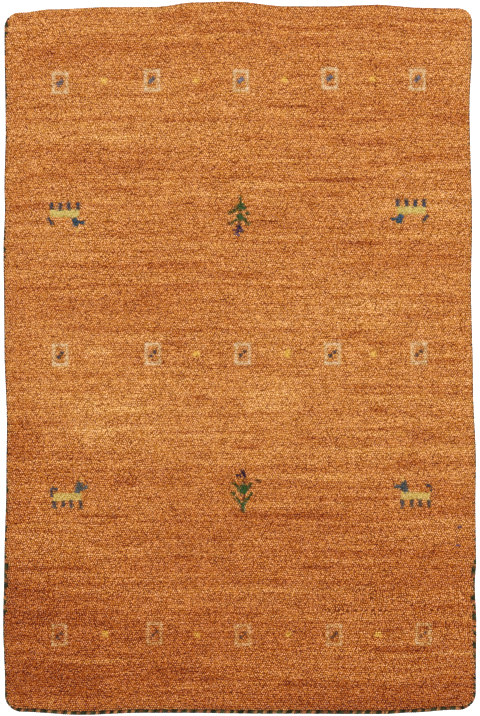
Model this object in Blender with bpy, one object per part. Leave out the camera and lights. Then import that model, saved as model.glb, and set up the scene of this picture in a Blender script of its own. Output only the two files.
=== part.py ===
"""A small hand-knotted wool rug with a cut pile, lying flat, in metres with +Z up.

One slab is the woven ground with its pile, and four overcast bindings run round its edge. The rug is
first laid out as it was on the loom, a rectangle with rounded corners, and then pulled out of true as
the real one is. The pile leans towards the top end (+Y), so it hangs over the binding there and leaves
it bare at the bottom end.
"""

from collections import namedtuple

import bmesh
import bpy
import numpy as np
from mathutils import Vector, noise

# The rug on the loom
RUG_WIDTH = 0.596
RUG_LENGTH = 0.900

# Heights over the floor
PILE_HEIGHT = 0.0128
SHOULDER_HEIGHT = 0.0119
BINDING_HEIGHT = 0.0050

# The overcast roll of the binding and the gap that parts it from its neighbours
BINDING_WIDTH = 0.0060
BINDING_CHAMFER = 0.0014
GAP = 0.00035

# How far in from the outline the pile's outer face lies
PILE_INSET_SIDE = 0.0015
PILE_INSET_TOP = 0.0
PILE_INSET_BOTTOM = 0.0050

# Unevenness of the pile: its depth, and the length and width of a lump
LUMP_DEPTH = 0.0007
LUMP_LENGTH = 0.110
LUMP_WIDTH = 0.045

# Steps of the mesh: across each rounded corner, and between the corners
CORNER_SPAN = 0.022
CORNER_STEPS = 4
WIDTH_STEPS = 26
LENGTH_STEPS = 40

Corner = namedtuple("Corner", "side end radius")
CORNERS = (
    Corner(-1, 1, 0.020),
    Corner(1, 1, 0.018),
    Corner(1, -1, 0.022),
    Corner(-1, -1, 0.022),
)

# How far each edge strays outwards from the loom's straight line, at places along it
Stray = namedtuple("Stray", "along out")
LEFT_EDGE = (
    Stray(-0.415, 0.0006),
    Stray(-0.338, 0.0029),
    Stray(-0.262, 0.0014),
    Stray(-0.160, -0.0011),
    Stray(-0.084, -0.0018),
    Stray(0.017, 0.0013),
    Stray(0.144, 0.0024),
    Stray(0.195, 0.0006),
    Stray(0.222, 0.0013),
    Stray(0.297, -0.0003),
    Stray(0.420, 0.0012),
)
RIGHT_EDGE = (
    Stray(-0.415, 0.0022),
    Stray(-0.338, 0.0029),
    Stray(-0.288, 0.0010),
    Stray(-0.262, 0.0026),
    Stray(-0.186, 0.0017),
    Stray(-0.135, 0.0024),
    Stray(-0.033, -0.0013),
    Stray(0.093, -0.0038),
    Stray(0.170, -0.0025),
    Stray(0.322, -0.0057),
    Stray(0.398, -0.0027),
)
TOP_EDGE = (
    Stray(-0.277, -0.0108),
    Stray(-0.239, -0.0066),
    Stray(-0.163, -0.0037),
    Stray(-0.106, -0.0034),
    Stray(-0.058, 0.0022),
    Stray(-0.010, 0.0033),
    Stray(0.060, -0.0026),
    Stray(0.110, -0.0028),
    Stray(0.175, -0.0008),
    Stray(0.235, -0.0047),
    Stray(0.275, -0.0053),
)
BOTTOM_EDGE = (
    Stray(-0.277, -0.0006),
    Stray(-0.201, 0.0033),
    Stray(-0.125, 0.0008),
    Stray(-0.067, 0.0008),
    Stray(0.028, 0.0018),
    Stray(0.180, 0.0023),
    Stray(0.218, 0.0003),
    Stray(0.270, -0.0031),
)

# The slab's rim, from the pile's shoulder over its outer face and lip, then in under the lip, over and
# behind the binding, to the underside. Each ring is pulled in from the outline by these amounts.
Ring = namedtuple("Ring", "side top bottom height")


def pile_ring(further_in, height):
    return Ring(
        PILE_INSET_SIDE + further_in,
        PILE_INSET_TOP + further_in,
        PILE_INSET_BOTTOM + further_in,
        height,
    )


def even_ring(inset, height, bottom=None):
    return Ring(inset, inset, inset if bottom is None else bottom, height)


BEHIND_BINDING = BINDING_WIDTH + GAP
LIP_HEIGHT = BINDING_HEIGHT + 2 * GAP
RIM = (
    pile_ring(0.0040, SHOULDER_HEIGHT),
    pile_ring(0.0011, 0.0106),
    pile_ring(0.0, 0.0084),
    pile_ring(0.0, LIP_HEIGHT),
    even_ring(BINDING_WIDTH - 0.0011, BINDING_HEIGHT + 0.0004, bottom=0.0055),
    even_ring(BEHIND_BINDING, BINDING_HEIGHT - 0.0012),
    even_ring(BEHIND_BINDING, 0.0),
)

# The section of the binding: a roll with a flat foot, as insets and heights
Spot = namedtuple("Spot", "inset height")
BINDING_SECTION = (
    Spot(BINDING_CHAMFER, 0.0),
    Spot(BINDING_WIDTH - BINDING_CHAMFER, 0.0),
    Spot(BINDING_WIDTH, BINDING_CHAMFER),
    Spot(BINDING_WIDTH, BINDING_HEIGHT - BINDING_CHAMFER),
    Spot(BINDING_WIDTH - BINDING_CHAMFER, BINDING_HEIGHT),
    Spot(BINDING_CHAMFER, BINDING_HEIGHT),
    Spot(0.0, BINDING_HEIGHT - BINDING_CHAMFER),
    Spot(0.0, BINDING_CHAMFER),
)

# Colour and roughness of the wool
PILE_COLOUR = (0.52, 0.18, 0.045, 1.0)
BINDING_COLOUR = (0.035, 0.055, 0.030, 1.0)
WOOL_ROUGHNESS = 0.95


def stray(edge, along):
    """How far out an edge lies at a place along it, eased from each row of its table to the next."""
    rows = list(edge)
    after = next((i for i, row in enumerate(rows) if row.along > along), len(rows))
    if after in (0, len(rows)):
        return rows[min(after, len(rows) - 1)].out
    low, high = rows[after - 1], rows[after]
    share = (along - low.along) / (high.along - low.along)
    ease = share * share * (3 - 2 * share)
    return low.out + (high.out - low.out) * ease


def out_of_true(x, y):
    """Moves a point of the rectangle on the loom to where the finished rug has it."""
    side = stray(LEFT_EDGE if x < 0 else RIGHT_EDGE, y)
    end = stray(BOTTOM_EDGE if y < 0 else TOP_EDGE, x)
    return x * (1 + side / (RUG_WIDTH / 2)), y * (1 + end / (RUG_LENGTH / 2))


def place(across, up, ring, height=None):
    """The point at these shares of a ring's width and length, 0 to 1, with its corners rounded."""
    left, right = ring.side - RUG_WIDTH / 2, RUG_WIDTH / 2 - ring.side
    bottom, top = ring.bottom - RUG_LENGTH / 2, RUG_LENGTH / 2 - ring.top
    x = left + (right - left) * across
    y = bottom + (top - bottom) * up
    for corner in CORNERS:
        radius = corner.radius - (ring.side + (ring.top if corner.end > 0 else ring.bottom)) / 2
        middle_x = right - radius if corner.side > 0 else left + radius
        middle_y = top - radius if corner.end > 0 else bottom + radius
        out_x = (x - middle_x) * corner.side
        out_y = (y - middle_y) * corner.end
        if out_x > 0 and out_y > 0:
            pull = max(out_x, out_y) / (out_x * out_x + out_y * out_y) ** 0.5
            x = middle_x + (x - middle_x) * pull
            y = middle_y + (y - middle_y) * pull
    return Vector((*out_of_true(x, y), ring.height if height is None else height))


def stations(length, middle_steps):
    """Shares of an edge at which the mesh has points, closer together round the corners."""
    corner = np.linspace(0, CORNER_SPAN, CORNER_STEPS + 1)[:-1]
    middle = np.linspace(CORNER_SPAN, length - CORNER_SPAN, middle_steps + 1)
    return np.concatenate([corner, middle, length - corner[::-1]]) / length


def pile_height(x, y, across, up):
    """Height of the pile's top: a rounded shoulder at the edges and shallow lumps along the rows."""
    edge = min(across, 1 - across) * RUG_WIDTH
    edge = min(edge, min(up, 1 - up) * RUG_LENGTH)
    rise = min(edge / CORNER_SPAN, 1)
    rise = 1 - (1 - rise) ** 2
    lump = noise.noise(Vector((x / LUMP_LENGTH, y / LUMP_WIDTH, 0.0)))
    lump += 0.5 * noise.noise(Vector((2.2 * x / LUMP_LENGTH, 2.2 * y / LUMP_WIDTH, 7.0)))
    return SHOULDER_HEIGHT + rise * (PILE_HEIGHT - SHOULDER_HEIGHT + LUMP_DEPTH * lump)


def wool(name, colour):
    material = bpy.data.materials.new(name)
    material.use_nodes = True
    shader = material.node_tree.nodes["Principled BSDF"]
    shader.inputs["Base Color"].default_value = colour
    shader.inputs["Roughness"].default_value = WOOL_ROUGHNESS
    shader.inputs["Metallic"].default_value = 0.0
    return material


def add_object(name, bm, material):
    """Makes an object of a finished mesh, with its faces pointing out."""
    bmesh.ops.recalc_face_normals(bm, faces=bm.faces)
    mesh = bpy.data.meshes.new(name)
    bm.to_mesh(mesh)
    bm.free()
    mesh.materials.append(material)
    mesh.shade_smooth()
    mesh.set_sharp_from_angle(angle=0.7)
    thing = bpy.data.objects.new(name, mesh)
    bpy.context.collection.objects.link(thing)
    return thing


def knotted_field(widths, lengths):
    """The ground and its pile: a grid for the top, whose border is extruded down ring by ring."""
    bm = bmesh.new()
    grid = {}
    for i, across in enumerate(widths):
        for j, up in enumerate(lengths):
            spot = place(across, up, RIM[0])
            spot.z = pile_height(spot.x, spot.y, across, up)
            grid[i, j] = bm.verts.new(spot)
    last_i, last_j = len(widths) - 1, len(lengths) - 1
    for i in range(last_i):
        for j in range(last_j):
            bm.faces.new((grid[i, j], grid[i + 1, j], grid[i + 1, j + 1], grid[i, j + 1]))
    share = {grid[i, j]: (widths[i], lengths[j]) for i, j in grid}
    border = [edge for edge in bm.edges if edge.is_boundary]
    for ring in RIM[1:]:
        was = {tuple(vert.co): share[vert] for edge in border for vert in edge.verts}
        made = bmesh.ops.extrude_edge_only(bm, edges=border)["geom"]
        share = {item: was[tuple(item.co)] for item in made if isinstance(item, bmesh.types.BMVert)}
        border = [item for item in made if isinstance(item, bmesh.types.BMEdge) and item.is_boundary]
        for vert, (across, up) in share.items():
            vert.co = place(across, up, ring)
    bmesh.ops.holes_fill(bm, edges=border, sides=0)
    return add_object("knotted_field", bm, wool("pile_wool", PILE_COLOUR))


def binding(name, shares):
    """One side's binding: its section carried along the edge, from the middle of one corner to the next."""
    bm = bmesh.new()
    loops = []
    for across, up in shares:
        points = [place(across, up, even_ring(spot.inset, spot.height)) for spot in BINDING_SECTION]
        loops.append([bm.verts.new(point) for point in points])
    sides = len(BINDING_SECTION)
    for near, far in zip(loops, loops[1:]):
        for k in range(sides):
            after = (k + 1) % sides
            bm.faces.new((near[k], near[after], far[after], far[k]))
    bm.faces.new(loops[0])
    bm.faces.new(loops[-1][::-1])
    return add_object(name, bm, wool(name + "_wool", BINDING_COLOUR))


def without_ends(shares, length):
    """The stations with the first and last moved in, so that the bindings don't touch in the corners."""
    moved = np.array(shares)
    moved[0] = GAP / length
    moved[-1] = 1 - GAP / length
    return moved


def main():
    for thing in list(bpy.data.objects):
        bpy.data.objects.remove(thing)
    widths = stations(RUG_WIDTH, WIDTH_STEPS)
    lengths = stations(RUG_LENGTH, LENGTH_STEPS)
    knotted_field(widths, lengths)
    along_width = without_ends(widths, RUG_WIDTH)
    along_length = without_ends(lengths, RUG_LENGTH)
    binding("binding_left", [(0.0, up) for up in along_length])
    binding("binding_right", [(1.0, up) for up in along_length])
    binding("binding_top", [(across, 1.0) for across in along_width])
    binding("binding_bottom", [(across, 0.0) for across in along_width])


main()
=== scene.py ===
"""The looks of a small hand-knotted wool rug: its cut pile, woven back and overcast edges.

The pile is made tuft by tuft, two across and two along in each knot. Every tuft takes its yarn from the
drawings of the motifs or from the abrash, the dyed wool's drift of colour along the rows. On top of the
yarn, each tuft's colour carries painted shade towards its root and a painted highlight at its tip.
"""

from collections import namedtuple

import bpy
import numpy as np
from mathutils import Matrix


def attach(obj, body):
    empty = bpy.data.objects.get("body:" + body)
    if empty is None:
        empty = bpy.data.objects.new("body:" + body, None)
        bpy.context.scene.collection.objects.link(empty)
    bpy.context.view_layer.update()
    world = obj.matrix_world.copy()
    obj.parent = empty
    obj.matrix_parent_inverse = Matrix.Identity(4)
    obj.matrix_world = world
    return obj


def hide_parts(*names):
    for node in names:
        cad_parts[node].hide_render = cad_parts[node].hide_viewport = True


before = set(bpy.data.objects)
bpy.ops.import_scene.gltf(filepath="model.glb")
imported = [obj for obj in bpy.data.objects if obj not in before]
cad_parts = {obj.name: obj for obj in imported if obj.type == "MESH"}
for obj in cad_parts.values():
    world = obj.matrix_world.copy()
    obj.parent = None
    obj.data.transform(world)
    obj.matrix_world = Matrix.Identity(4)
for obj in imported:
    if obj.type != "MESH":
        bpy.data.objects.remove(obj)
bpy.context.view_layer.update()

SEED = 20
RANDOM = np.random.default_rng(SEED)
MM = 0.001

# The least length and the least cover to divide by
TINY = 1e-9
LEAST_COVER = 1e-6

# The rug on the loom, as the frame's solids have it
RUG_WIDTH = 0.596
RUG_LENGTH = 0.900
PILE_HEIGHT = 0.0128
BINDING_WIDTH = 0.0060
BINDING_HEIGHT = 0.0050

Corner = namedtuple("Corner", "side end radius")
CORNERS = (
    Corner(-1, 1, 0.020),
    Corner(1, 1, 0.018),
    Corner(1, -1, 0.022),
    Corner(-1, -1, 0.022),
)

# How far each edge strays outwards from the loom's straight line, at places along it
Stray = namedtuple("Stray", "along out")
LEFT_EDGE = (
    Stray(-0.415, 0.0006),
    Stray(-0.338, 0.0029),
    Stray(-0.262, 0.0014),
    Stray(-0.160, -0.0011),
    Stray(-0.084, -0.0018),
    Stray(0.017, 0.0013),
    Stray(0.144, 0.0024),
    Stray(0.195, 0.0006),
    Stray(0.222, 0.0013),
    Stray(0.297, -0.0003),
    Stray(0.420, 0.0012),
)
RIGHT_EDGE = (
    Stray(-0.415, 0.0022),
    Stray(-0.338, 0.0029),
    Stray(-0.288, 0.0010),
    Stray(-0.262, 0.0026),
    Stray(-0.186, 0.0017),
    Stray(-0.135, 0.0024),
    Stray(-0.033, -0.0013),
    Stray(0.093, -0.0038),
    Stray(0.170, -0.0025),
    Stray(0.322, -0.0057),
    Stray(0.398, -0.0027),
)
TOP_EDGE = (
    Stray(-0.277, -0.0108),
    Stray(-0.239, -0.0066),
    Stray(-0.163, -0.0037),
    Stray(-0.106, -0.0034),
    Stray(-0.058, 0.0022),
    Stray(-0.010, 0.0033),
    Stray(0.060, -0.0026),
    Stray(0.110, -0.0028),
    Stray(0.175, -0.0008),
    Stray(0.235, -0.0047),
    Stray(0.275, -0.0053),
)
BOTTOM_EDGE = (
    Stray(-0.277, -0.0006),
    Stray(-0.201, 0.0033),
    Stray(-0.125, 0.0008),
    Stray(-0.067, 0.0008),
    Stray(0.028, 0.0018),
    Stray(0.180, 0.0023),
    Stray(0.218, 0.0003),
    Stray(0.270, -0.0031),
)

# How much of the binding the pile leaves bare along each edge, beyond the least
LEFT_BARE = (
    Stray(-0.43, 0.0012),
    Stray(-0.35, 0.0012),
    Stray(-0.32, 0.0034),
    Stray(-0.27, 0.0034),
    Stray(-0.23, 0.0016),
    Stray(-0.10, 0.0008),
    Stray(0.11, 0.0006),
    Stray(0.14, 0.0024),
    Stray(0.17, 0.0006),
    Stray(0.38, 0.0010),
    Stray(0.43, 0.0028),
)
RIGHT_BARE = (
    Stray(-0.43, 0.0016),
    Stray(-0.35, 0.0026),
    Stray(-0.32, 0.0050),
    Stray(-0.29, 0.0034),
    Stray(-0.25, 0.0022),
    Stray(-0.20, 0.0006),
    Stray(0.10, 0.0002),
    Stray(0.43, 0.0004),
)

# Smooth noise over the rug: the size of its lumps across and along, its shift and its seed
Field = namedtuple("Field", "lump_x lump_y shift_x shift_y seed")
NOISE_CELLS = 64

# The bare stretches come and go along each edge: by how much, and in which lumps along it and across
BARE_BREAKS = 1.1
BREAKS = Field(0.008, 1 / 9, 40, 3, 8)

# The knots of the field
KNOT_COLUMNS = 112
KNOT_ROWS = 191
TUFTS_PER_KNOT = 2
TUFT_COLUMNS = KNOT_COLUMNS * TUFTS_PER_KNOT
TUFT_ROWS = KNOT_ROWS * TUFTS_PER_KNOT
STRIPS = 7

# The pile's root and tip areas, pulled in from the outline by these amounts
Reach = namedtuple("Reach", "side bottom top")
ROOTS = Reach(0.0070, 0.0074, 0.0068)
TIPS = Reach(0.0014, 0.0066, 0.0020)

# How far the tips lean towards the top end, and how far from the border the lean and the wander grow full
LEAN = 0.0015
LEAN_EASE = 0.03

# Round the rim the tufts get lower, thinner and paler
RIM_DROP = 0.0007
RIM_WIDTH = 0.005
RIM_THINNING = 0.4
RIM_TONE = 0.26

# One tuft, a four-sided bud of wool on a point: how wide it swells, and how far that lies below its tip
ROOT_HEIGHT = 0.0045
SWELL_RADIUS = 0.0026
SWELL_DROP = 0.0009
SIDES = 4
TUFT_POINTS = SIDES + 2

# A tuft's triangles on its map: their corners' places lengthways within a side, and sideways
MAP_LENGTHWAYS = (0.06, 0.30, 0.30, 0.30, 0.30, 0.94)
MAP_SIDEWAYS = (0.5, 0.9, 0.1, 0.1, 0.9, 0.5)

# How unevenly the tufts stand: the stagger and the jitters of place in tufts, the others in metres or shares
STAGGER = 0.25
PLACE_JITTER = 0.16
ROW_JITTER = 0.25
HEIGHT_JITTER = 0.00022
RADIUS_JITTER = 0.09
TIP_JITTER = 0.00008

# The pile's slow lumps, and how far its rows and columns wander
LUMP_DEPTH = 0.0006
LUMPS = Field(0.09, 0.035, 20, 20, 3)
WANDER = 0.0010
WANDER_X = Field(0.013, 0.013, 50, 50, 5)
WANDER_Y = Field(0.013, 0.013, 50, 50, 6)

# The woven ground: how far it keeps off the binding and the floor, and how deep it holds the roots
GROUND_GAP = 0.0004
FLOOR_GAP = 0.0001
ROOT_DEPTH = 0.0006

# The binding's turns of yarn: their pitch, their slant, and how each swells between its neighbours
TURN_PITCH = 0.00246
TURN_SKEW = 0.0010
TURN_VALLEY = 0.86
TURN_PEAK = 1.04
TURN_UNEVENNESS = 0.03
TURN_EASE = 0.035
CORNER_GAP = 0.0006
BINDING_SIDES = 10
STATIONS_PER_TURN = 2

# How many turns of green and of rust follow each other, one of these picked at random each time
GREEN_TURNS = (2, 3, 3)
RUST_TURNS = (2, 2, 3)

# The edges of the rug, each from one corner to the next in shares of the rug's width and length
Edge = namedtuple("Edge", "name across0 up0 across1 up1 length")
EDGES = (
    Edge("bottom", 0, 0, 1, 0, RUG_WIDTH),
    Edge("right", 1, 0, 1, 1, RUG_LENGTH),
    Edge("top", 1, 1, 0, 1, RUG_WIDTH),
    Edge("left", 0, 1, 0, 0, RUG_LENGTH),
)

# The photograph: how its pixels lie on the rug
METRES_PER_PIXEL = 0.00127
MIDDLE_PIXEL_X = 239.25
MIDDLE_PIXEL_Y = 357.65
PHOTO_WIDTH = 480
PHOTO_HEIGHT = 716

# The camera, at the distance where its sensor's longer side just sees the photograph's height
LENS_MM = 85.0
SENSOR_MM = 36.0
CAMERA_DISTANCE = LENS_MM / SENSOR_MM * PHOTO_HEIGHT * METRES_PER_PIXEL


def screen(red, green, blue):
    """A colour given as the 0 to 255 numbers of a screen, as shares of the most."""
    return (red / 255, green / 255, blue / 255)


# Yarns of the motifs, and how much of each shows among the ground's
Yarn = namedtuple("Yarn", "colour cover")
YARNS = {
    "cream": Yarn(screen(210, 188, 162), 0.72),
    "slate": Yarn(screen(92, 96, 124), 0.85),
    "night": Yarn(screen(54, 52, 70), 0.88),
    "gold": Yarn(screen(220, 182, 88), 0.80),
    "yellow": Yarn(screen(197, 176, 104), 1.0),
    "straw": Yarn(screen(206, 168, 98), 0.80),
    "blue": Yarn(screen(42, 72, 100), 0.86),
    "ink": Yarn(screen(54, 60, 80), 0.92),
    "green": Yarn(screen(54, 82, 42), 0.94),
    "moss": Yarn(screen(46, 64, 26), 0.92),
    "bark": Yarn(screen(72, 38, 14), 0.86),
    "navy": Yarn(screen(46, 42, 72), 1.0),
    "plum": Yarn(screen(50, 32, 54), 1.0),
    "lilac": Yarn(screen(86, 62, 98), 0.86),
}

# The motifs as strokes of yarn: from one place to another and how wide, in millimetres from the middle
Stroke = namedtuple("Stroke", "yarn x0 y0 x1 y1 width")
FRAME = (
    Stroke("cream", -8.4, -12.2, -8.4, 12.2, 3.8),
    Stroke("cream", 8.4, -12.2, 8.4, 12.2, 3.8),
    Stroke("cream", -10.3, 12.2, 10.3, 12.2, 4.4),
    Stroke("cream", -10.3, -12.2, 10.3, -12.2, 4.4),
)
DRAWINGS = {
    "blue_box": FRAME + (
        Stroke("slate", -3.4, -2.6, 3.4, 3.4, 5.4),
    ),
    "dark_box": FRAME + (
        Stroke("night", -4.6, -2.9, -0.4, -2.9, 4.2),
        Stroke("night", 0.4, 2.0, 4.6, 2.0, 4.2),
    ),
    "dot": (
        Stroke("gold", -3.8, 0.0, 3.8, 0.0, 7.0),
    ),
    "tall_dot": (
        Stroke("gold", -3.8, 0.0, 3.8, 0.0, 11.0),
    ),
    "walking_goat": (
        Stroke("yellow", -17.8, 0.2, 18.0, 0.4, 9.2),
        Stroke("ink", -16.6, -4.4, -16.6, -14.2, 4.6),
        Stroke("ink", -5.2, -4.4, -5.2, -12.8, 4.6),
        Stroke("ink", 4.8, -4.4, 4.8, -14.4, 4.2),
        Stroke("ink", 16.6, -4.2, 17.0, -14.4, 4.6),
        Stroke("blue", 11.8, 4.6, 16.4, 18.6, 7.4),
        Stroke("blue", 17.2, 10.4, 26.0, 13.0, 4.2),
        Stroke("straw", 16.8, 19.4, 17.4, 24.4, 4.6),
    ),
    "grazing_goat": (
        Stroke("yellow", -18.0, 0.0, 18.0, 0.0, 9.2),
        Stroke("ink", -16.3, -4.4, -16.3, -14.2, 4.6),
        Stroke("ink", -5.1, -4.4, -5.1, -13.4, 4.6),
        Stroke("ink", 5.7, -4.4, 5.7, -14.2, 4.4),
        Stroke("ink", 17.4, -4.4, 17.4, -14.2, 4.6),
        Stroke("blue", 12.4, 4.6, 15.2, 16.4, 7.0),
        Stroke("blue", 16.5, 10.4, 25.4, 12.2, 4.4),
        Stroke("straw", 16.6, 17.6, 17.0, 22.6, 4.6),
    ),
    "curled_tail": (
        Stroke("ink", -19.8, 0.0, -21.1, 8.0, 2.8),
        Stroke("ink", -21.4, 6.8, -17.4, 11.2, 2.8),
        Stroke("ink", -18.4, 10.8, -12.3, 9.4, 3.0),
    ),
    "raised_tail": (
        Stroke("ink", -18.2, 5.8, -20.6, 9.2, 3.2),
        Stroke("ink", -19.6, 11.6, -13.8, 15.2, 3.2),
    ),
    "slanted_tail": (
        Stroke("ink", -21.4, 5.2, -15.2, 14.4, 3.4),
    ),
    "tulip": (
        Stroke("plum", -2.9, 26.5, -0.5, 22.1, 2.4),
        Stroke("plum", -0.8, 23.2, 3.0, 15.8, 4.0),
        Stroke("plum", -8.3, 19.5, -2.0, 16.8, 2.8),
        Stroke("bark", 0.3, 12.8, 0.4, 6.0, 2.4),
        Stroke("green", 0.5, 7.4, 0.5, -5.0, 7.0),
        Stroke("green", -6.0, -0.6, 5.0, 0.0, 5.6),
        Stroke("moss", 4.3, 1.8, 11.0, 9.3, 3.6),
        Stroke("moss", -15.0, 9.0, -9.0, 8.4, 2.8),
        Stroke("moss", -10.4, 8.0, -6.0, 2.6, 4.2),
        Stroke("moss", -14.2, -3.0, -10.8, -6.0, 4.2),
        Stroke("bark", -14.2, -10.0, -10.8, -10.4, 2.6),
        Stroke("moss", -9.2, -8.4, -4.0, -16.4, 3.4),
        Stroke("green", -4.8, -16.0, 0.4, -17.2, 3.4),
        Stroke("moss", 11.2, -3.4, 4.6, -11.6, 3.2),
        Stroke("green", 5.0, -10.8, 1.0, -17.0, 3.4),
        Stroke("bark", 0.5, -5.0, 0.5, -14.0, 2.4),
        Stroke("green", -0.1, -16.0, -0.1, -28.0, 3.6),
        Stroke("bark", -2.9, -19.7, -2.9, -27.4, 2.2),
    ),
    "tree": (
        Stroke("moss", 0.0, 25.3, 1.0, 15.2, 2.4),
        Stroke("green", 1.0, 15.4, 1.0, 7.0, 7.4),
        Stroke("green", 3.6, 10.2, 6.6, 7.8, 3.6),
        Stroke("moss", -5.2, 14.3, -2.0, 9.6, 2.2),
        Stroke("moss", -1.8, 9.8, -7.8, 5.8, 2.8),
        Stroke("moss", -7.2, 6.2, -14.2, 2.6, 3.0),
        Stroke("moss", 7.6, 4.2, 10.0, 0.8, 4.0),
        Stroke("bark", 0.5, 7.0, 0.4, 1.0, 2.2),
        Stroke("green", 0.0, 1.8, -0.4, -6.4, 7.4),
        Stroke("moss", -5.0, 0.2, -2.4, -2.6, 2.4),
        Stroke("moss", 3.4, -2.8, 7.4, -6.4, 3.0),
        Stroke("moss", 7.1, -5.6, 7.6, -9.2, 3.6),
        Stroke("moss", 7.4, -8.8, 12.0, -11.8, 3.2),
        Stroke("moss", -4.8, -5.2, -8.2, -7.8, 2.6),
        Stroke("moss", -7.8, -7.2, -10.9, -11.8, 2.4),
        Stroke("bark", -14.1, -7.4, -14.1, -12.8, 3.0),
        Stroke("bark", -0.5, -6.4, -0.5, -12.4, 2.4),
        Stroke("navy", -1.4, -11.6, -1.4, -15.8, 3.6),
        Stroke("navy", -0.8, -14.6, 3.0, -20.0, 3.6),
        Stroke("navy", -2.8, -14.8, -3.2, -20.8, 2.8),
        Stroke("navy", -3.4, -20.4, 2.6, -20.4, 2.6),
        Stroke("lilac", -9.2, -17.4, -5.4, -18.6, 2.6),
        Stroke("lilac", -5.9, -22.3, -0.6, -25.6, 2.8),
    ),
    "speck": (
        Stroke("lilac", -2.6, 0.0, 2.6, 0.0, 2.8),
    ),
    "wisp": (
        Stroke("straw", -2.4, -3.4, 2.4, 3.4, 2.2),
    ),
    "dark_knots": (
        Stroke("bark", -3.8, 0.8, 3.8, -0.8, 3.2),
    ),
}
STROKE_SOFTNESS = 0.0018
MOTIF_REACH = 0.034

# Where the motifs' middles lie in the photograph, and how much of their yarn shows
Motif = namedtuple("Motif", "drawing pixel_x pixel_y mirrored inverted cover", defaults=(False, False, 1.0))
MOTIFS = (
    Motif("blue_box", 59.2, 82.2),
    Motif("blue_box", 151.3, 79.5),
    Motif("blue_box", 240.2, 79.8),
    Motif("blue_box", 329.4, 77.5),
    Motif("blue_box", 417.3, 78.7),
    Motif("dot", 103.3, 80.0),
    Motif("dot", 195.6, 79.8),
    Motif("dot", 284.2, 78.7),
    Motif("dot", 372.9, 78.3),
    Motif("dark_box", 59.4, 354.1),
    Motif("dark_box", 152.2, 353.1),
    Motif("dark_box", 242.2, 352.8),
    Motif("dark_box", 332.1, 353.0),
    Motif("dark_box", 418.6, 352.4),
    Motif("dot", 195.9, 353.2),
    Motif("tall_dot", 287.2, 352.8),
    Motif("dot", 373.2, 353.2),
    # Lower down the rug the motifs show less of their yarn, so they come out darker there, like the ground
    Motif("dark_box", 58.4, 634.4, cover=0.66),
    Motif("dark_box", 154.0, 632.7, cover=0.66),
    Motif("dark_box", 242.6, 634.6, cover=0.66),
    Motif("dark_box", 333.9, 634.6, cover=0.66),
    Motif("dark_box", 423.0, 633.7, cover=0.66),
    Motif("dot", 104.2, 633.5, cover=0.84),
    Motif("dot", 196.5, 634.2, cover=0.84),
    Motif("dot", 288.4, 633.9, cover=0.84),
    Motif("dot", 377.6, 634.3, cover=0.84),
    Motif("walking_goat", 66.6, 496.4, cover=0.84),
    Motif("curled_tail", 66.6, 496.4),
    Motif("walking_goat", 415.6, 495.5, mirrored=True, cover=0.84),
    Motif("raised_tail", 415.6, 495.5, mirrored=True),
    Motif("grazing_goat", 63.6, 212.6, inverted=True),
    Motif("slanted_tail", 63.6, 212.6, inverted=True),
    Motif("grazing_goat", 411.0, 209.4, mirrored=True, inverted=True),
    Motif("slanted_tail", 411.0, 209.4, mirrored=True, inverted=True),
    Motif("tulip", 242.8, 489.6),
    Motif("tree", 239.6, 214.5),
    Motif("speck", 459.5, 526.5),
    Motif("speck", 458.3, 544.9),
    Motif("wisp", 50.1, 701.0),
    Motif("dark_knots", 257.3, 479.9),
)

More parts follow.
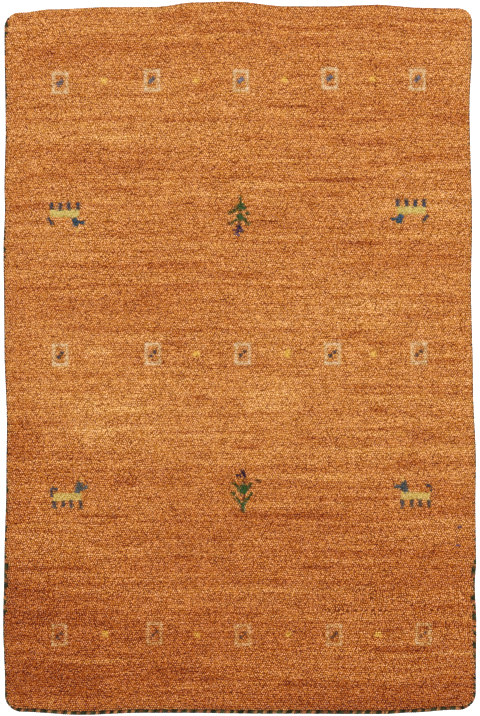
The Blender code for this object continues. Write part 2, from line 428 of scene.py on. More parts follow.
# The streaks of the abrash that stand out in the photograph, and how far each moves the ground's tone
Streak = namedtuple("Streak", "left_pixel right_pixel pixel_y height tone")
STREAKS = (
    Streak(-60, 540, 30.0, 60, -0.06),
    Streak(-60, 40, 357.0, 400, -0.10),
    Streak(-40, 100, 600.0, 50, -0.12),
    Streak(110, 520, 605.0, 40, 0.07),
    Streak(148, 202, 17.0, 7, -0.22),
    Streak(205, 250, 28.0, 5, -0.14),
    Streak(290, 420, 33.0, 2, 0.18),
    Streak(20, 60, 52.0, 6, -0.16),
    Streak(295, 320, 39.0, 4, -0.22),
    Streak(355, 405, 47.0, 3, -0.16),
    Streak(100, 152, 78.0, 2, -0.36),
    Streak(203, 237, 80.0, 5, -0.22),
    Streak(288, 322, 75.0, 2, -0.28),
    Streak(345, 402, 75.0, 2, -0.26),
    Streak(188, 216, 89.0, 5, -0.22),
    Streak(264, 316, 105.5, 2, -0.40),
    Streak(300, 352, 110.5, 5, -0.28),
    Streak(370, 425, 110.0, 2, -0.28),
    Streak(10, 150, 118.0, 3, -0.24),
    Streak(155, 230, 120.0, 2, -0.30),
    Streak(340, 405, 119.0, 2, -0.32),
    Streak(293, 332, 126.0, 5, -0.26),
    Streak(425, 470, 116.0, 14, -0.16),
    Streak(85, 135, 137.0, 5, 0.18),
    Streak(243, 272, 137.0, 4, -0.20),
    Streak(345, 390, 143.0, 5, -0.20),
    Streak(240, 340, 154.5, 3, -0.22),
    Streak(40, 115, 160.0, 4, -0.22),
    Streak(245, 305, 160.0, 4, 0.22),
    Streak(350, 470, 159.0, 9, -0.16),
    Streak(395, 445, 156.0, 3, -0.22),
    Streak(380, 475, 166.0, 3, 0.34),
    Streak(95, 175, 167.0, 2, -0.24),
    Streak(138, 163, 177.0, 3, -0.32),
    Streak(15, 75, 175.0, 5, -0.20),
    Streak(305, 375, 179.0, 2, -0.42),
    Streak(95, 185, 182.0, 3, 0.24),
    Streak(225, 335, 183.0, 3, 0.24),
    Streak(80, 145, 188.0, 4, -0.20),
    Streak(295, 350, 193.0, 4, -0.20),
    Streak(10, 50, 205.0, 5, -0.20),
    Streak(183, 212, 237.0, 3, -0.32),
    Streak(338, 387, 243.0, 4, -0.26),
    Streak(5, 235, 265.0, 5, -0.18),
    Streak(340, 475, 263.0, 5, -0.18),
    Streak(213, 238, 256.0, 2, -0.36),
    Streak(75, 155, 284.0, 2, -0.28),
    Streak(5, 95, 287.5, 2, -0.32),
    Streak(60, 115, 290.0, 3, 0.22),
    Streak(138, 162, 295.0, 6, -0.20),
    Streak(328, 352, 296.0, 2, -0.38),
    Streak(415, 445, 294.0, 2, -0.28),
    Streak(45, 75, 306.0, 4, -0.26),
    Streak(400, 470, 301.0, 4, -0.20),
    Streak(395, 450, 316.0, 6, -0.22),
    Streak(240, 295, 322.0, 6, 0.20),
    Streak(168, 187, 334.0, 3, -0.40),
    Streak(338, 362, 333.0, 4, -0.34),
    Streak(158, 187, 343.0, 6, -0.26),
    Streak(362, 402, 342.0, 4, -0.26),
    Streak(82, 118, 352.0, 5, 0.28),
    Streak(258, 287, 352.0, 6, 0.24),
    Streak(415, 465, 361.0, 5, -0.26),
    Streak(5, 125, 373.0, 3, -0.26),
    Streak(178, 212, 380.0, 3, 0.26),
    Streak(343, 367, 388.0, 2, -0.28),
    Streak(188, 207, 396.0, 4, -0.34),
    Streak(55, 155, 407.0, 10, 0.26),
    Streak(236, 304, 397.0, 20, 0.20),
    Streak(368, 387, 409.0, 4, -0.38),
    Streak(5, 75, 422.0, 6, -0.26),
    Streak(168, 202, 432.0, 2, -0.32),
    Streak(228, 262, 447.0, 6, -0.26),
    Streak(298, 318, 437.0, 4, -0.32),
    Streak(405, 445, 433.0, 6, -0.26),
    Streak(0, 50, 446.0, 22, -0.16),
    Streak(75, 118, 436.0, 16, 0.18),
    Streak(393, 428, 462.0, 7, -0.28),
    Streak(108, 142, 483.0, 5, -0.28),
    Streak(245, 360, 477.0, 4, 0.18),
    Streak(155, 235, 508.0, 2, -0.32),
    Streak(72, 132, 515.8, 2, -0.52),
    Streak(222, 355, 515.0, 5, -0.38),
    Streak(315, 375, 527.0, 8, -0.20),
    Streak(5, 95, 568.0, 3, -0.46),
    Streak(298, 333, 567.0, 3, -0.60),
    Streak(168, 192, 556.0, 4, -0.26),
    Streak(267, 293, 580.0, 5, -0.22),
    Streak(372, 403, 590.0, 2, -0.34),
    Streak(5, 55, 590.0, 4, -0.32),
    Streak(68, 97, 597.0, 2, -0.50),
    Streak(108, 127, 596.0, 2, -0.44),
    Streak(188, 245, 608.0, 4, -0.22),
    Streak(218, 264, 613.5, 2, -0.30),
    Streak(5, 65, 613.0, 5, -0.26),
    Streak(78, 113, 621.0, 6, -0.26),
    Streak(365, 435, 650.0, 5, -0.40),
    Streak(145, 195, 670.0, 5, -0.30),
    Streak(276, 314, 683.0, 7, -0.32),
    Streak(142, 174, 685.0, 4, -0.30),
    Streak(338, 358, 687.0, 2, -0.48),
    Streak(198, 224, 677.0, 3, -0.30),
    Streak(-20, 110, 672.0, 40, -0.14),
)

# How far a streak fades beyond its height, and how soon it is full from its ends
STREAK_WIDENING = 0.6
STREAK_ENDS = 2.5

# Drifts of colour in the ground: lumps in knots across and along, and how far each moves the tone
Drift = namedtuple("Drift", "across along amount shift")
DRIFTS = (
    Drift(70.0, 1.2, 0.72, 3.1),
    Drift(22.0, 0.8, 0.60, 11.7),
    Drift(60.0, 12.0, 0.42, 27.3),
    Drift(7.0, 4.0, 0.26, 41.9),
)
DRIFT_DETAIL = 2.0
DRIFT_ROUGHNESS = 0.55

# The drifts' rows rise and fall by some knots across the rug
ROW_WAVES = Drift(45.0, 60.0, 3.0, 5.5)

# Towards the bottom end the ground gets darker, over this many rows of knots
DARK_ROWS = 78.0
DARK_TONE = -0.33

# The ground's colours on the screen, from the darkest tone to the lightest, and its middle tone
TONE_MIDDLE = 0.56
GROUND_TONES = (
    (0.00, screen(160, 81, 2)),
    (0.25, screen(179, 101, 21)),
    (0.50, screen(197, 128, 49)),
    (0.75, screen(211, 150, 73)),
    (1.00, screen(226, 172, 98)),
)

# How much lighter or darker each tuft and each fleck of fibres is, on the screen; and by depth in the pile,
# painted shade that darkens the wool towards the roots and a painted highlight that pales it at the tips
TUFT_LIGHT = (0.06, 0.07, 0.08)
FLECK_LIGHT = (0.31, 0.40, 0.66)
PAINTED_DEPTH_SHADING = (0.54, 0.68, 1.05)
MIDDLE_DEPTH = 0.67
MOTIF_EVENNESS = 0.6
FLECKS_PER_METRE = 1300.0

# From a colour on the screen to the share of light that the wool gives back
SCREEN_GAMMA = 2.2
SCREEN_LEAST = (0.01, 0.01, 0.01)
WHITE_WOOL = 0.608

# Yarns of the binding, how far one turn is lighter than the next, and the shade of a cut end
GREEN_YARN = screen(72, 71, 44)
RUST_YARN = screen(180, 98, 62)
GOLD_YARN = screen(188, 134, 78)
TURN_LIGHT = 0.5
TURN_FLECKS_PER_METRE = 900.0
TURN_FLECK_DETAIL = 2.0
END_SHADE = 0.5

# Matt wool, and the relief of its fibres
WOOL_ROUGHNESS = 0.9
WOOL_SPECULAR = 0.05
WOOL_SHEEN = 0.04
SHEEN_ROUGHNESS = 0.5
Fibres = namedtuple("Fibres", "per_metre depth")
PILE_FIBRES = Fibres(1400.0, 0.0004)
BACK_FIBRES = Fibres(500.0, 0.0006)
TURN_FIBRES = Fibres(1200.0, 0.0004)
FIBRE_DETAIL = 3.0
FIBRE_STRENGTH = 0.6

# The studio: a floor just under the rug, a lamp and a sky
FLOOR_SIZE = 12.0
FLOOR_HEIGHT = -0.0003
FLOOR_COLOUR = (0.93, 0.93, 0.93)
FLOOR_ROUGHNESS = 0.9
LAMP_SIZE = 3.0
LAMP_POWER = 1200.0
LAMP_PLACE = (0.8, 3.2, 9.6)
SKY_STRENGTH = 1.1


def eased(table, along):
    """The value of a table at places along it, eased from each row to the next."""
    rows = np.array(table)
    k = np.clip(np.searchsorted(rows[:, 0], along) - 1, 0, len(rows) - 2)
    share = np.clip((along - rows[k, 0]) / (rows[k + 1, 0] - rows[k, 0]), 0, 1)
    ease = share * share * (3 - 2 * share)
    return rows[k, 1] + (rows[k + 1, 1] - rows[k, 1]) * ease


def strays(x, y):
    """How many times further out the side and the end edge lie than on the loom."""
    side = np.where(x < 0, eased(LEFT_EDGE, y), eased(RIGHT_EDGE, y))
    end = np.where(y < 0, eased(BOTTOM_EDGE, x), eased(TOP_EDGE, x))
    return 1 + side / (RUG_WIDTH / 2), 1 + end / (RUG_LENGTH / 2)


def place(across, up, side, bottom, top):
    """The points at these shares of the rug's width and length, for a rectangle pulled in by these insets."""
    left, right = side - RUG_WIDTH / 2, RUG_WIDTH / 2 - side
    low, high = bottom - RUG_LENGTH / 2, RUG_LENGTH / 2 - top
    x = left + (right - left) * across
    y = low + (high - low) * up
    for corner in CORNERS:
        radius = corner.radius - (side + (top if corner.end > 0 else bottom)) / 2
        middle_x = right - radius if corner.side > 0 else left + radius
        middle_y = high - radius if corner.end > 0 else low + radius
        out_x = (x - middle_x) * corner.side
        out_y = (y - middle_y) * corner.end
        inside = (out_x > 0) & (out_y > 0)
        pull = np.maximum(out_x, out_y) / np.maximum(np.hypot(out_x, out_y), TINY)
        x = np.where(inside, middle_x + (x - middle_x) * pull, x)
        y = np.where(inside, middle_y + (y - middle_y) * pull, y)
    stray_x, stray_y = strays(x, y)
    return x * stray_x, y * stray_y


def place_of_pixel(pixel_x, pixel_y):
    """Where a pixel of the photograph lies on top of the pile, which is nearer the camera than the edge."""
    metres = METRES_PER_PIXEL * (1 - (PILE_HEIGHT - BINDING_HEIGHT / 2) / CAMERA_DISTANCE)
    return (pixel_x - MIDDLE_PIXEL_X) * metres, (MIDDLE_PIXEL_Y - pixel_y) * metres


def stroke_cover(stroke, x, y):
    """How much of a stroke's yarn shows at places given from its motif's middle, from 0 to 1."""
    start = np.array([stroke.x0, stroke.y0]) * MM
    end = np.array([stroke.x1, stroke.y1]) * MM
    length = np.hypot(*(end - start))
    ahead_x, ahead_y = (end - start) / length
    from_x, from_y = x - (start[0] + end[0]) / 2, y - (start[1] + end[1]) / 2
    beyond = np.abs(from_x * ahead_x + from_y * ahead_y) - length / 2
    beside = np.abs(from_y * ahead_x - from_x * ahead_y) - stroke.width * MM / 2
    return np.clip(0.5 - np.maximum(beyond, beside) / STROKE_SOFTNESS, 0, 1)


def yarn_at(x, y):
    """The motifs' yarn at places on the rug: red, green, blue and how much of it shows."""
    yarn = np.zeros((len(x), 4))
    for motif in MOTIFS:
        middle_x, middle_y = place_of_pixel(motif.pixel_x, motif.pixel_y)
        near = np.nonzero((abs(x - middle_x) < MOTIF_REACH) & (abs(y - middle_y) < MOTIF_REACH))[0]
        from_x = (x[near] - middle_x) * (-1 if motif.mirrored else 1)
        from_y = (y[near] - middle_y) * (-1 if motif.inverted else 1)
        for stroke in DRAWINGS[motif.drawing]:
            colour, cover = YARNS[stroke.yarn]
            share = stroke_cover(stroke, from_x, from_y)[:, None] * cover * motif.cover
            before = yarn[near, 3:] * (1 - share)
            after = before + share
            blend = yarn[near, :3] * before + np.array(colour) * share
            yarn[near, :3] = blend / np.maximum(after, LEAST_COVER)
            yarn[near, 3:] = after
    return yarn


def streak_at(x, y):
    """How far the placed streaks move the ground's tone at places on the rug."""
    tone = np.zeros(len(x))
    for streak in STREAKS:
        left, middle_y = place_of_pixel(streak.left_pixel, streak.pixel_y)
        right = place_of_pixel(streak.right_pixel, streak.pixel_y)[0]
        along = np.clip(1 - np.abs(2 * (x - left) / (right - left) - 1), 0, 1)
        thin = (y - middle_y) / (STREAK_WIDENING * streak.height * METRES_PER_PIXEL)
        tone += streak.tone * np.minimum(1, along * STREAK_ENDS) * np.exp(-thin * thin)
    return tone


def smooth_noise(field, x, y):
    """Even noise from -1 to 1 at places x and y, in lumps of the field's size."""
    grid = np.random.default_rng(field.seed).uniform(-1, 1, (NOISE_CELLS, NOISE_CELLS))
    x = x / field.lump_x + field.shift_x
    y = y / field.lump_y + field.shift_y
    i, j = np.floor(x).astype(int), np.floor(y).astype(int)
    a, b = x - i, y - j
    a, b = a * a * (3 - 2 * a), b * b * (3 - 2 * b)
    i, j = i % (NOISE_CELLS - 1), j % (NOISE_CELLS - 1)
    low = grid[i, j] * (1 - a) + grid[i + 1, j] * a
    high = grid[i, j + 1] * (1 - a) + grid[i + 1, j + 1] * a
    return low * (1 - b) + high * b


def crossings(columns, rows):
    """The column and the row of each crossing of so many columns and rows."""
    column, row = np.meshgrid(np.arange(columns), np.arange(rows), indexing="ij")
    return column.ravel(), row.ravel()


def new_mesh(name, points, loops, counts):
    """A mesh from arrays: points, the point of each face corner, and the number of corners of each face."""
    mesh = bpy.data.meshes.new(name)
    mesh.vertices.add(len(points))
    mesh.vertices.foreach_set("co", points.astype(np.float32).ravel())
    mesh.loops.add(len(loops))
    mesh.loops.foreach_set("vertex_index", loops.astype(np.int32))
    mesh.polygons.add(len(counts))
    starts = np.concatenate([[0], np.cumsum(counts)[:-1]])
    mesh.polygons.foreach_set("loop_start", starts.astype(np.int32))
    mesh.update(calc_edges=True)
    return mesh


def paint(mesh, name, kind, domain, values):
    """Gives the mesh's points or faces an attribute that its material reads."""
    layer = mesh.attributes.new(name, kind, domain)
    key = {"FLOAT": "value", "FLOAT_VECTOR": "vector", "FLOAT_COLOR": "color"}[kind]
    layer.data.foreach_set(key, np.asarray(values, np.float32).ravel())


def add_piece(name, mesh, material):
    """Puts a finished mesh into the scene as a piece of the rug."""
    mesh.materials.append(material)
    piece = bpy.data.objects.new(name, mesh)
    bpy.context.collection.objects.link(piece)
    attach(piece, "root")
    return piece


def add(tree, kind, inputs=None, **settings):
    """A node with its settings made and its inputs set, or linked where the value is a socket."""
    node = tree.nodes.new(kind)
    for key, value in settings.items():
        setattr(node, key, value)
    for key, value in (inputs or {}).items():
        if isinstance(value, bpy.types.NodeSocket):
            tree.links.new(value, node.inputs[key])
        else:
            node.inputs[key].default_value = value
    return node


def maths(tree, operation, a, b, clamp=False):
    """The result of a sum on two numbers or sockets."""
    return add(tree, "ShaderNodeMath", {0: a, 1: b}, operation=operation, use_clamp=clamp).outputs[0]


def split(tree, vector):
    """The outputs X, Y and Z of a vector."""
    return add(tree, "ShaderNodeSeparateXYZ", {"Vector": vector}).outputs


def scaled(tree, vector, scale):
    """A vector or colour times a number."""
    return add(tree, "ShaderNodeVectorMath", {0: vector, "Scale": scale}, operation="SCALE").outputs[0]


def mixed(tree, share, a, b):
    """The colour a, with this share of it taken by b."""
    inputs = {0: share, 6: a, 7: b}
    return add(tree, "ShaderNodeMix", inputs, data_type="RGBA", clamp_factor=True).outputs[2]


def attribute(tree, name, output):
    """An attribute of the mesh, as a socket."""
    return add(tree, "ShaderNodeAttribute", attribute_name=name).outputs[output]


def drifting(tree, vector, drift):
    """Noise from 0 to 1 on the loom's knots, in lumps of the drift's size."""
    mapped = add(
        tree,
        "ShaderNodeMapping",
        {
            "Vector": vector,
            "Scale": (1 / drift.across, 1 / drift.along, 0.0),
            "Location": (drift.shift, drift.shift, drift.shift),
        },
    )
    texture = add(
        tree,
        "ShaderNodeTexNoise",
        {
            "Vector": mapped.outputs[0],
            "Scale": 1.0,
            "Detail": DRIFT_DETAIL,
            "Roughness": DRIFT_ROUGHNESS,
        },
    )
    return texture.outputs[0]


def ground_colour(tree):
    """The tone drifts along the rows as the abrash does, and gets darker towards the bottom end; its place on
    a ramp gives the colour on the screen.
    """
    loom = attribute(tree, "loom", "Vector")
    knots = split(tree, loom)
    wave = maths(tree, "MULTIPLY", drifting(tree, loom, ROW_WAVES), ROW_WAVES.amount)
    row = maths(tree, "ADD", knots["Y"], wave)
    bent = add(tree, "ShaderNodeCombineXYZ", {"X": knots["X"], "Y": row}).outputs[0]
    tone = maths(tree, "ADD", attribute(tree, "streak", "Fac"), TONE_MIDDLE)
    for drift in DRIFTS:
        lump = maths(tree, "SUBTRACT", drifting(tree, bent, drift), 0.5)
        tone = maths(tree, "ADD", maths(tree, "MULTIPLY", lump, drift.amount), tone)
    darker = add(
        tree,
        "ShaderNodeMapRange",
        {"Value": knots["Y"], "From Min": 0.0, "From Max": DARK_ROWS, "To Min": DARK_TONE, "To Max": 0.0},
    )
    tone = maths(tree, "ADD", tone, darker.outputs[0], clamp=True)
    ramp = add(tree, "ShaderNodeValToRGB", {"Fac": tone})
    stops = ramp.color_ramp.elements
    while len(stops) < len(GROUND_TONES):
        stops.new(0.5)
    for stop, (position, colour) in zip(stops, GROUND_TONES):
        stop.position = position
        stop.color = (*colour, 1)
    return ramp.outputs[0]


def knot_colour(tree):
    """The ground, or the motif's yarn where a knot has one, as on the screen."""
    yarn = add(tree, "ShaderNodeAttribute", attribute_name="yarn")
    return mixed(tree, yarn.outputs["Alpha"], ground_colour(tree), yarn.outputs["Color"])


def lightened(tree, colour, signal, amounts):
    """The colour, moved by each channel's amount times a signal."""
    change = scaled(tree, amounts, signal)
    return add(tree, "ShaderNodeVectorMath", {0: colour, 1: change}, operation="ADD").outputs[0]


def as_light(tree, colour):
    """A colour as on the screen, made into the share of light that the wool gives back."""
    kept = add(tree, "ShaderNodeVectorMath", {0: colour, 1: SCREEN_LEAST}, operation="MAXIMUM").outputs[0]
    light = add(tree, "ShaderNodeGamma", {"Color": kept, "Gamma": SCREEN_GAMMA}).outputs[0]
    return scaled(tree, light, WHITE_WOOL)


def wool_material(name, colour, fibres):
    """Matt wool: colour(tree) gives the colour's socket, and fine noise gives the fibres."""
    material = bpy.data.materials.new(name)
    material.use_nodes = True
    tree = material.node_tree
    shader = tree.nodes["Principled BSDF"]
    shader.inputs["Metallic"].default_value = 0.0
    shader.inputs["Specular IOR Level"].default_value = WOOL_SPECULAR
    shader.inputs["Sheen Weight"].default_value = WOOL_SHEEN
    shader.inputs["Sheen Roughness"].default_value = SHEEN_ROUGHNESS
    shader.inputs["Roughness"].default_value = WOOL_ROUGHNESS
    tree.links.new(colour(tree), shader.inputs["Base Color"])
    texture = add(
        tree,
        "ShaderNodeTexNoise",
        {
            "Vector": add(tree, "ShaderNodeTexCoord").outputs["Object"],
            "Scale": fibres.per_metre,
            "Detail": FIBRE_DETAIL,
        },
    )
    bump = add(
        tree,
        "ShaderNodeBump",
        {"Height": texture.outputs[0], "Strength": FIBRE_STRENGTH, "Distance": fibres.depth},
    )
    tree.links.new(bump.outputs[0], shader.inputs["Normal"])
    return material


def pile_colour(tree):
    """The knots' colours, tuft by tuft and fleck by fleck, with painted shade towards the roots and a painted
    highlight at the tips.
    """
    tuft = maths(tree, "SUBTRACT", split(tree, attribute(tree, "loom", "Vector"))["Z"], 0.5)
    where = add(tree, "ShaderNodeTexCoord").outputs["Object"]
    cells = add(tree, "ShaderNodeTexVoronoi", {"Vector": where, "Scale": FLECKS_PER_METRE}).outputs["Color"]
    fleck = maths(tree, "SUBTRACT", split(tree, cells)["X"], 0.5)
    # Painted shade and highlight by depth in the tuft: darker towards the root, lighter at the tip
    depth = maths(tree, "SUBTRACT", attribute(tree, "depth", "Fac"), MIDDLE_DEPTH)
    shown = maths(tree, "MULTIPLY", attribute(tree, "yarn", "Alpha"), MOTIF_EVENNESS)
    evenness = maths(tree, "SUBTRACT", 1.0, shown)
    colour = knot_colour(tree)
    for signal, amounts in ((tuft, TUFT_LIGHT), (fleck, FLECK_LIGHT), (depth, PAINTED_DEPTH_SHADING)):
        colour = lightened(tree, colour, maths(tree, "MULTIPLY", signal, evenness), amounts)
    return as_light(tree, colour)


def back_colour(tree):
    """The knots' plain colours, as the ground shows them on its back."""
    return as_light(tree, knot_colour(tree))


def binding_colour(tree):
    """Green or rust yarn by turns, each turn a little lighter or darker, with flecks along it."""
    turn = split(tree, attribute(tree, "turn", "Vector"))
    flecks = add(
        tree,
        "ShaderNodeTexNoise",
        {
            "Vector": add(tree, "ShaderNodeTexCoord").outputs["Object"],
            "Scale": TURN_FLECKS_PER_METRE,
            "Detail": TURN_FLECK_DETAIL,
        },
    )
    light = maths(tree, "ADD", maths(tree, "MULTIPLY", turn["Y"], TURN_LIGHT), flecks.outputs[0])
    warm = mixed(tree, turn["Z"], (*RUST_YARN, 1), (*GOLD_YARN, 1))
    yarn = mixed(tree, turn["X"], (*GREEN_YARN, 1), warm)
    return as_light(tree, scaled(tree, yarn, light))


def tuft_places(across, up):
    """The tufts' roots and tips at these shares of the rug's sides, and how near its rim they are."""
    count = len(across)
    root_x, root_y = place(across, up, *ROOTS)
    bare = np.where(across < 0.5, eased(LEFT_BARE, root_y), eased(RIGHT_BARE, root_y))
    bare = bare * (1 + BARE_BREAKS * smooth_noise(BREAKS, root_y, across))
    tip_x, tip_y = place(across, up, TIPS.side + bare, TIPS.bottom, TIPS.top)
    to_side = np.minimum(across, 1 - across) * RUG_WIDTH
    to_end = np.minimum(up, 1 - up) * RUG_LENGTH
    border = np.minimum(to_side, to_end)
    inner = np.clip(border / LEAN_EASE, 0, 1)
    rim = np.clip(1 - border / RIM_WIDTH, 0, 1)

    jitter_x, jitter_y = RANDOM.normal(0, TIP_JITTER, (2, count))
    tip_x = tip_x + inner * WANDER * smooth_noise(WANDER_X, root_x, root_y) + jitter_x
    tip_y = tip_y + inner * (LEAN + WANDER * smooth_noise(WANDER_Y, root_x, root_y)) + jitter_y
    height = PILE_HEIGHT + LUMP_DEPTH * smooth_noise(LUMPS, tip_x, tip_y)
    height = height - RIM_DROP * rim * rim
    height = height + RANDOM.normal(0, HEIGHT_JITTER, count)
    root = np.stack([root_x, root_y, np.full(count, ROOT_HEIGHT)], 1)
    tip = np.stack([tip_x, tip_y, height], 1)
    return root, tip, rim


def tuft_points(root, tip, rim):
    """The points of each tuft: a ring where it swells, then its root and its tip."""
    count = len(root)
    turn = RANDOM.uniform(0, 2 * np.pi, count)
    wide = SWELL_RADIUS * (1 - RIM_THINNING * rim) * (1 + RANDOM.normal(0, RADIUS_JITTER, count))
    swell = root + (tip - root) * (1 - SWELL_DROP / (tip[:, 2:] - ROOT_HEIGHT))
    points = np.zeros((count, TUFT_POINTS, 3))
    points[:, SIDES] = root
    points[:, SIDES + 1] = tip
    for k in range(SIDES):
        angle = turn + 2 * np.pi * k / SIDES
        outwards = np.stack([np.cos(angle), np.sin(angle), np.zeros(count)], 1)
        points[:, k] = swell + outwards * wide[:, None]
    return points


def tuft_faces():
    """The points of one tuft's triangles, and those corners' places lengthways and sideways on its map."""
    corners, lengthways, sideways = [], [], []
    for k in range(SIDES):
        after = (k + 1) % SIDES
        corners += [SIDES, after, k, k, after, SIDES + 1]
        lengthways += [(k + share) / SIDES for share in MAP_LENGTHWAYS]
        sideways += MAP_SIDEWAYS
    return np.array(corners), np.array(lengthways), np.array(sideways)


def strip_of_pile(index, material):
    """One strip of the pile along the rug, tuft by tuft."""
    columns = TUFT_COLUMNS // STRIPS
    column, row = crossings(columns, TUFT_ROWS)
    whole = column + index * columns
    count = len(column)
    stagger = STAGGER * (1 - 2 * (row % 2))
    across = whole + 0.5 + stagger + RANDOM.uniform(-PLACE_JITTER, PLACE_JITTER, count)
    across = np.clip(across / TUFT_COLUMNS, 0, 1)
    up = row + 0.5 + RANDOM.uniform(-ROW_JITTER, ROW_JITTER, count)
    up = np.clip(up / TUFT_ROWS, 0, 1)
    root, tip, rim = tuft_places(across, up)
    points = tuft_points(root, tip, rim)

    corners, lengthways, sideways = tuft_faces()
    loops = np.arange(count)[:, None] * TUFT_POINTS + corners
    name = f"pile_strip_{index + 1}"
    mesh = new_mesh(name, points.reshape(-1, 3), loops.ravel(), np.full(count * 2 * SIDES, 3))
    mesh.shade_smooth()

    map_x = (column[:, None] + lengthways) / columns
    map_y = (row[:, None] + sideways) / TUFT_ROWS
    layer = mesh.uv_layers.new(name="OFBake")
    layer.uv.foreach_set("vector", np.stack([map_x, map_y], 2).astype(np.float32).ravel())

    loom = np.stack([whole / TUFTS_PER_KNOT, row / TUFTS_PER_KNOT, RANDOM.random(count)], 1)
    yarn = yarn_at(tip[:, 0], tip[:, 1])
    streak = streak_at(tip[:, 0], tip[:, 1]) + RIM_TONE * rim
    # Each tuft's depth, 0 at its swell and root and 1 at its tip, sets its painted shade and highlight
    depth = np.zeros(TUFT_POINTS)
    depth[-1] = 1.0
    paint(mesh, "loom", "FLOAT_VECTOR", "POINT", np.repeat(loom, TUFT_POINTS, 0))
    paint(mesh, "yarn", "FLOAT_COLOR", "POINT", np.repeat(yarn, TUFT_POINTS, 0))
    paint(mesh, "streak", "FLOAT", "POINT", np.repeat(streak, TUFT_POINTS))
    paint(mesh, "depth", "FLOAT", "POINT", np.tile(depth, count))
    return add_piece(name, mesh, material)


def woven_ground(material):
    """The woven ground, with a face for each knot on its back and on its front, and walls round its edge."""
    columns, rows = KNOT_COLUMNS, KNOT_ROWS
    inset = BINDING_WIDTH + GROUND_GAP
    i, j = crossings(columns + 1, rows + 1)
    x, y = place(i / columns, j / rows, inset, inset, inset)
    back = np.stack([x, y, np.full(len(x), FLOOR_GAP)], 1)
    front = np.stack([x, y, np.full(len(x), ROOT_HEIGHT + ROOT_DEPTH)], 1)

    a, b = crossings(columns, rows)
    corner = a * (rows + 1) + b
    quads = np.stack([corner, corner + 1, corner + rows + 2, corner + rows + 1], 1)
    tops = quads[:, ::-1] + len(back)
    ring = [k * (rows + 1) for k in range(columns)]
    ring += [columns * (rows + 1) + k for k in range(rows)]
    ring += [(columns - k) * (rows + 1) + rows for k in range(columns)]
    ring += [rows - k for k in range(rows)]
    ring = np.array(ring)
    after = np.roll(ring, -1)
    walls = np.stack([ring, after, after + len(back), ring + len(back)], 1)
    faces = np.concatenate([quads, tops, walls])
    points = np.concatenate([back, front])
    mesh = new_mesh("woven_ground", points, faces.ravel(), np.full(len(faces), 4))

    loom = np.stack([a + 0.5, b + 0.5, RANDOM.random(len(a))], 1)
    wall_loom = np.full((len(walls), 3), 0.5)
    yarn = yarn_at(x[corner], y[corner])
    streak = streak_at(x[corner], y[corner])
    paint(mesh, "loom", "FLOAT_VECTOR", "FACE", np.concatenate([loom, loom, wall_loom]))
    paint(mesh, "yarn", "FLOAT_COLOR", "FACE", np.concatenate([yarn, yarn, np.zeros((len(walls), 4))]))
    paint(mesh, "streak", "FLOAT", "FACE", np.concatenate([streak, streak, np.zeros(len(walls))]))
    piece = add_piece("woven_ground", mesh, material)
    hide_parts("knotted_field")
    return piece


def turns_of_yarn(count):
    """Each turn's yarn, 0 for green and 1 for rust, in bundles of one and the other by turns."""
    turns = []
    while len(turns) < count:
        turns += [0] * RANDOM.choice(GREEN_TURNS)
        turns += [1] * RANDOM.choice(RUST_TURNS)
    return np.array(turns[:count])


def binding_points(edge, turns):
    """The rings of points of an edge's binding, which swells and narrows with its turns of yarn."""
    stations = turns * STATIONS_PER_TURN + 1
    end = CORNER_GAP / edge.length
    along = np.linspace(end, 1 - end, stations)[:, None]
    angle = 2 * np.pi * np.arange(BINDING_SIDES) / BINDING_SIDES
    swell = np.where(np.arange(stations) % STATIONS_PER_TURN == 0, TURN_VALLEY, TURN_PEAK)
    swell = swell * (1 + TURN_UNEVENNESS * RANDOM.normal(size=stations))
    swell[[0, -1]] = TURN_VALLEY
    inset = BINDING_WIDTH / 2 * (1 - swell[:, None] * np.cos(angle))
    height = BINDING_HEIGHT / 2 * (1 + swell[:, None] * np.sin(angle))

    # Away from the corners the turns stand square to the edge, but for their own slant
    skew = TURN_SKEW * (inset - BINDING_WIDTH / 2) / (BINDING_WIDTH / 2) / edge.length
    square = inset * (2 * along - 1) / (edge.length - 2 * inset)
    from_corner = np.clip(np.minimum(along, 1 - along) * edge.length / TURN_EASE, 0, 1)
    share = np.clip(along + (skew + square) * from_corner, 0, 1)
    across = edge.across0 + (edge.across1 - edge.across0) * share
    up = edge.up0 + (edge.up1 - edge.up0) * share
    x, y = place(across, up, inset, inset, inset)
    return np.stack([x, y, np.maximum(height, FLOOR_GAP)], 2)


def binding(edge, material):
    """One edge's binding: a roll of turns of yarn, from the middle of one corner to the next."""
    turns = round(edge.length / TURN_PITCH)
    points = binding_points(edge, turns).reshape(-1, 3)
    ring = np.arange(BINDING_SIDES)
    starts = np.arange(turns * STATIONS_PER_TURN)[:, None] * BINDING_SIDES
    near = (starts + ring).ravel()
    beside = (starts + np.roll(ring, -1)).ravel()
    quads = np.stack([near, near + BINDING_SIDES, beside + BINDING_SIDES, beside], 1)
    last = len(points) - BINDING_SIDES
    loops = np.concatenate([quads.ravel(), ring, (last + ring)[::-1]])
    counts = np.concatenate([np.full(len(quads), 4), [BINDING_SIDES, BINDING_SIDES]])
    name = f"overcast_{edge.name}"
    mesh = new_mesh(name, points, loops, counts)
    mesh.shade_smooth()

    colours = turns_of_yarn(turns)
    light, hue = RANDOM.random((2, turns))
    shades = np.repeat(np.stack([colours, light, hue], 1), STATIONS_PER_TURN * BINDING_SIDES, 0)
    ends = [[colours[0], END_SHADE, END_SHADE], [colours[-1], END_SHADE, END_SHADE]]
    paint(mesh, "turn", "FLOAT_VECTOR", "FACE", np.concatenate([shades, ends]))
    piece = add_piece(name, mesh, material)
    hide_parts(f"binding_{edge.name}")
    return piece


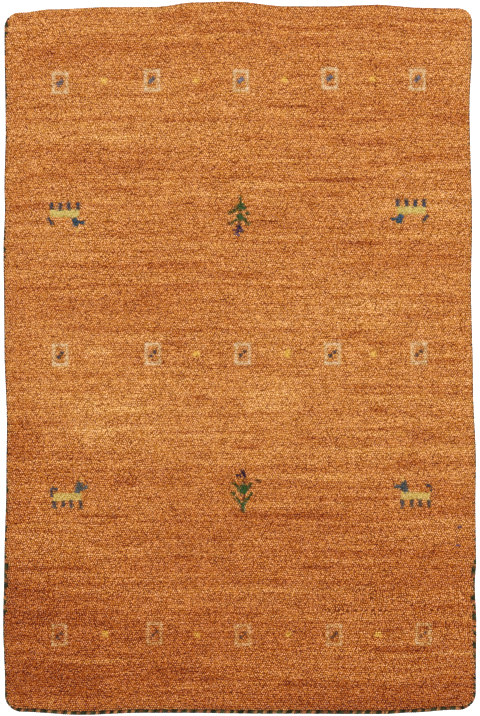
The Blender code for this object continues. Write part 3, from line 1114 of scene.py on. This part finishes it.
def make_rug():
    """The pile, the woven ground and the bindings, which make one sheet that lies on the floor."""
    pile_wool = wool_material("pile_wool", pile_colour, PILE_FIBRES)
    back_wool = wool_material("back_wool", back_colour, BACK_FIBRES)
    binding_wool = wool_material("binding_wool", binding_colour, TURN_FIBRES)
    strips = [strip_of_pile(index, pile_wool) for index in range(STRIPS)]
    ground = woven_ground(back_wool)
    bindings = [binding(edge, binding_wool) for edge in EDGES]


def make_stage():
    """A plain white floor, a wide soft lamp to one side and an even white sky."""
    bpy.ops.mesh.primitive_plane_add(size=FLOOR_SIZE, location=(0, 0, FLOOR_HEIGHT))
    floor = bpy.context.object
    floor.name = "floor"
    material = bpy.data.materials.new("floor_white")
    material.use_nodes = True
    shader = material.node_tree.nodes["Principled BSDF"]
    shader.inputs["Base Color"].default_value = (*FLOOR_COLOUR, 1)
    shader.inputs["Roughness"].default_value = FLOOR_ROUGHNESS
    floor.data.materials.append(material)

    lamp = bpy.data.lights.new("key", "AREA")
    lamp.shape = "DISK"
    lamp.size = LAMP_SIZE
    lamp.energy = LAMP_POWER
    key = bpy.data.objects.new("key", lamp)
    key.location = LAMP_PLACE
    key.rotation_euler = key.location.to_track_quat("Z", "Y").to_euler()
    bpy.context.collection.objects.link(key)

    world = bpy.data.worlds.new("sky")
    world.use_nodes = True
    world.node_tree.nodes["Background"].inputs["Color"].default_value = (1, 1, 1, 1)
    world.node_tree.nodes["Background"].inputs["Strength"].default_value = SKY_STRENGTH
    bpy.context.scene.world = world


def make_camera():
    """Straight above, so that a pixel of the photograph covers its own piece of the pile."""
    camera = bpy.data.cameras.new("camera")
    camera.lens = LENS_MM
    camera.sensor_width = SENSOR_MM
    camera.sensor_fit = "AUTO"
    eye = bpy.data.objects.new("camera", camera)
    eye.location = (
        ((PHOTO_WIDTH - 1) / 2 - MIDDLE_PIXEL_X) * METRES_PER_PIXEL,
        (MIDDLE_PIXEL_Y - (PHOTO_HEIGHT - 1) / 2) * METRES_PER_PIXEL,
        CAMERA_DISTANCE + BINDING_HEIGHT / 2,
    )
    bpy.context.collection.objects.link(eye)
    bpy.context.scene.camera = eye


make_rug()
make_stage()
make_camera()
bpy.context.scene.view_settings.view_transform = "Standard"
